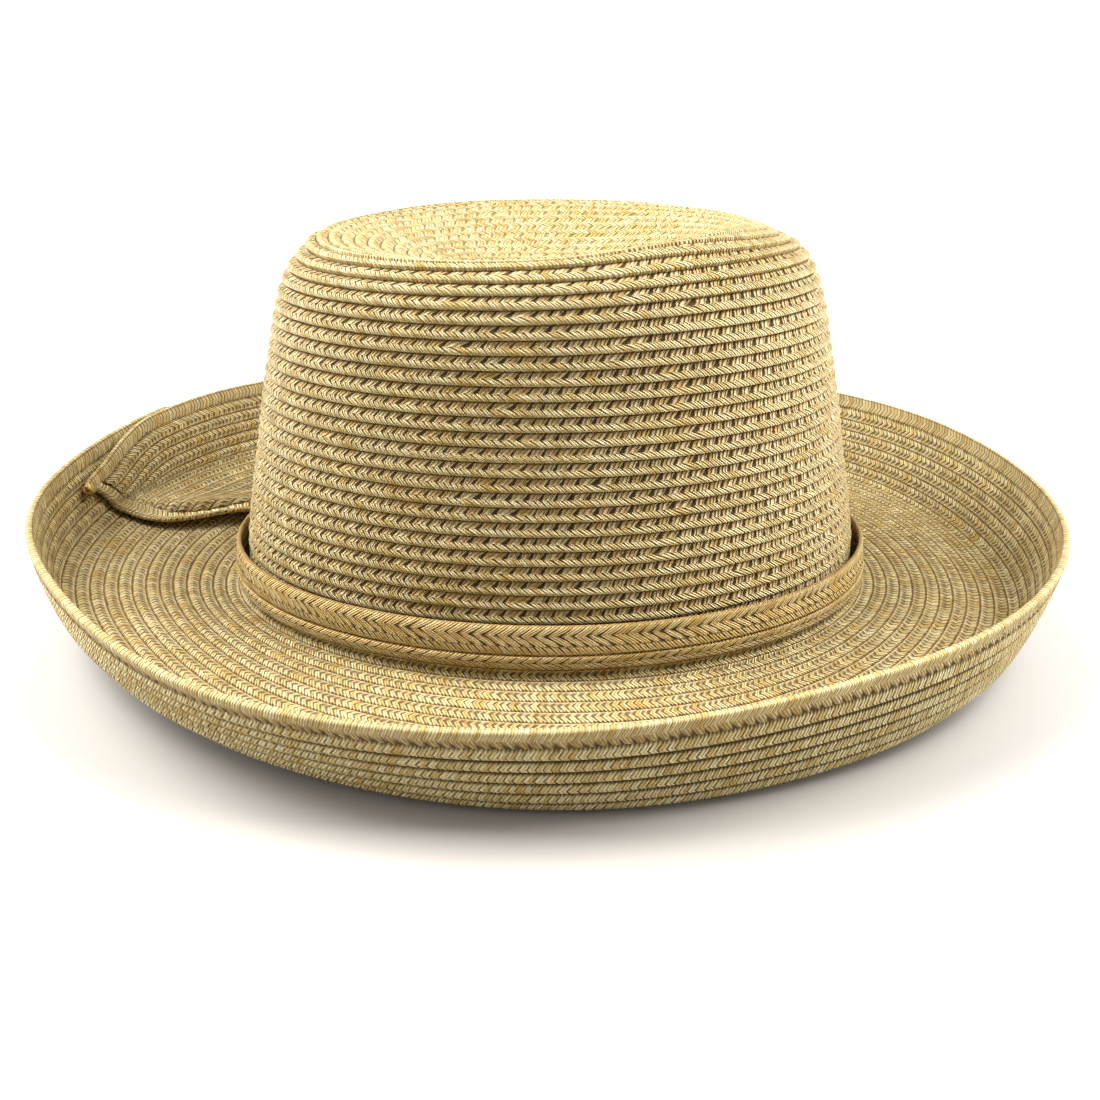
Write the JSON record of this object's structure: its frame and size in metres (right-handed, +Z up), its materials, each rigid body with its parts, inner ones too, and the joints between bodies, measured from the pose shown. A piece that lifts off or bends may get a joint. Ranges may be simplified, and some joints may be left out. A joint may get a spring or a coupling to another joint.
{
  "type": "kettle brim straw hat",
  "caption": "Sun hat of sewn straw braid with a low dished crown, a two-braid band and a kettle brim that turns up all round and laps at the back",
  "frame": {"origin": "bottom centre of the hat's box, on the surface that the brim rests on", "axes": "+X towards the front of the hat, with the split of the brim at -X, and +Z up from the surface that it rests on"},
  "size_m": [0.3332, 0.2916, 0.1235],
  "materials": {
    "crown_straw": "matt open straw braid, sewn in a spiral of shingled rows",
    "brim_straw": "matt straw braid in close smooth rows",
    "rim_straw": "plaited straw braid with a soft sheen",
    "band_straw": "golden plaited straw braid with a soft sheen"
  },
  "bodies": {
    "root": {"crown": "crown_straw", "brim": "brim_straw", "rim_braid": "rim_straw", "flap_edge_braid": "rim_straw", "band_lower_braid": "band_straw", "band_upper_braid": "band_straw"}
  },
  "joints": []
}
